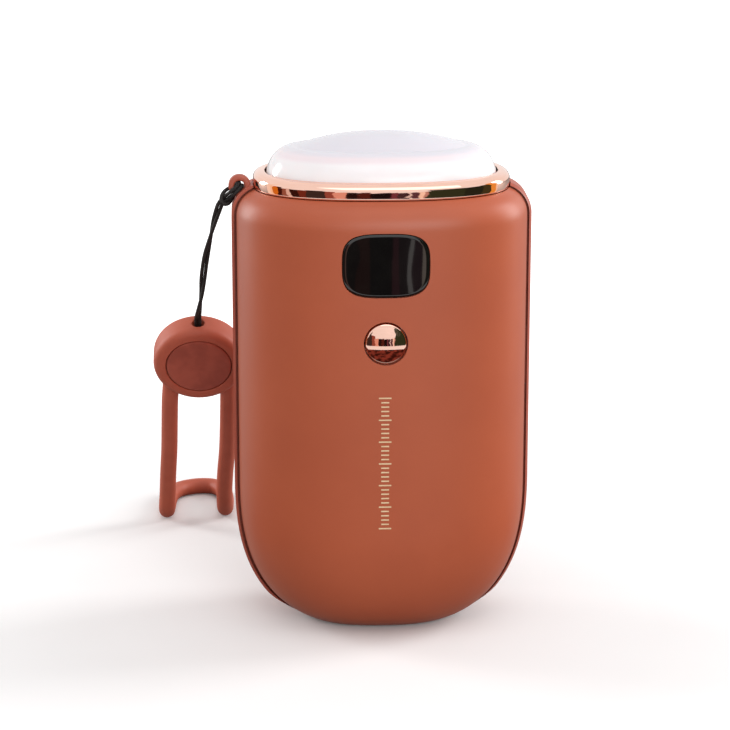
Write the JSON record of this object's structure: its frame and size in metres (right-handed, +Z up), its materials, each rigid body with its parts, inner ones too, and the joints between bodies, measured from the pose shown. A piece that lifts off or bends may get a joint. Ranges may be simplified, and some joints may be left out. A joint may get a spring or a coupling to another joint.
{
  "type": "rechargeable hand warmer",
  "caption": "Pocket heater with two curved shells on a narrow side frame, a domed lamp in a plated ring, a display window, a push button and a wrist strap.",
  "frame": {"origin": "centre of the flat underside of the base pad, on the surface that the body stands on", "axes": "+X to the right seen from the display side, +Y from the display side to the back, +Z up"},
  "size_m": [0.085, 0.1149, 0.1111],
  "materials": {
    "shell": "soft-touch terracotta paint",
    "frame": "satin moulded terracotta",
    "pad": "matte",
    "plated_ring": "polished rose gold plating",
    "plated_button": "polished rose gold plating",
    "lamp": "milky glossy diffuser",
    "window": "smoked black gloss",
    "white_board": "white solder mask",
    "led": "phosphor",
    "white_plastic": "moulded",
    "gasket": "foam",
    "module": "potted",
    "dark_plastic": "moulded",
    "switch_body": "pressed cover",
    "circuit_board": "green solder mask",
    "ivory_plastic": "moulded",
    "steel": "zinc plated",
    "port_metal": "tin plated",
    "lead_red": "silicone insulation",
    "lead_white": "silicone insulation",
    "lead_yellow": "silicone insulation",
    "carrier": "moulded",
    "cell_wrap": "heat-shrink sleeve",
    "nickel": "nickel strip",
    "heat_plate": "rolled",
    "heater_film": "polyimide film",
    "black_cord": "braided cord",
    "strap_silicone": "matte silicone",
    "strap_cap": "satin"
  },
  "bodies": {
    "housing": {"front_shell": "shell", "rear_shell": "shell", "side_frame": "frame", "base_pad": "pad", "lamp_ring": "plated_ring", "lamp_cover": "lamp", "lamp_board": "white_board", "lamp_leds": "led", "lamp_holder": "white_plastic", "lamp_screws": "steel", "display_window": "window", "display_gasket": "gasket", "display_module": "module", "tact_switch": "switch_body", "main_board": "circuit_board", "controller_chips": "dark_plastic", "power_inductor": "dark_plastic", "battery_socket": "ivory_plastic", "heater_sockets": "ivory_plastic", "board_screws": "steel", "port_board": "circuit_board", "usb_a_port": "port_metal", "usb_c_port": "port_metal", "port_leads": "lead_red", "inner_carrier": "carrier", "battery_cell_left": "cell_wrap", "battery_cell_right": "cell_wrap", "battery_tab_top": "nickel", "battery_tab_bottom": "nickel", "front_heat_plate": "heat_plate", "front_heater_film": "heater_film", "rear_heat_plate": "heat_plate", "rear_heater_film": "heater_film", "thermal_sensor": "dark_plastic", "battery_leads": "lead_red", "lamp_leads": "lead_white", "front_heater_leads": "lead_yellow", "rear_heater_leads": "lead_yellow", "shell_screws": "steel", "frame_screws": "steel", "cord_hitch": "black_cord", "cord_strand_left": "black_cord", "cord_strand_right": "black_cord", "strap_puck": "strap_silicone", "puck_cap": "strap_cap", "wrist_loop": "strap_silicone"},
    "button": {"power_button": "plated_button"},
    "plunger": {"switch_plunger": "dark_plastic"}
  },
  "joints": [
    {"name": "button_press", "type": "slide", "parent": "housing", "child": "button", "axis": [0, 1, 0], "range_m": [0, 0.0005], "stiffness_N_per_m": 1500},
    {"name": "plunger_press", "type": "slide", "parent": "housing", "child": "plunger", "axis": [0, 1, 0], "range_m": [0, 0.0005]}
  ],
  "couplings": [
    {"joint": "plunger_press", "follows": "button_press", "ratio": 1}
  ]
}
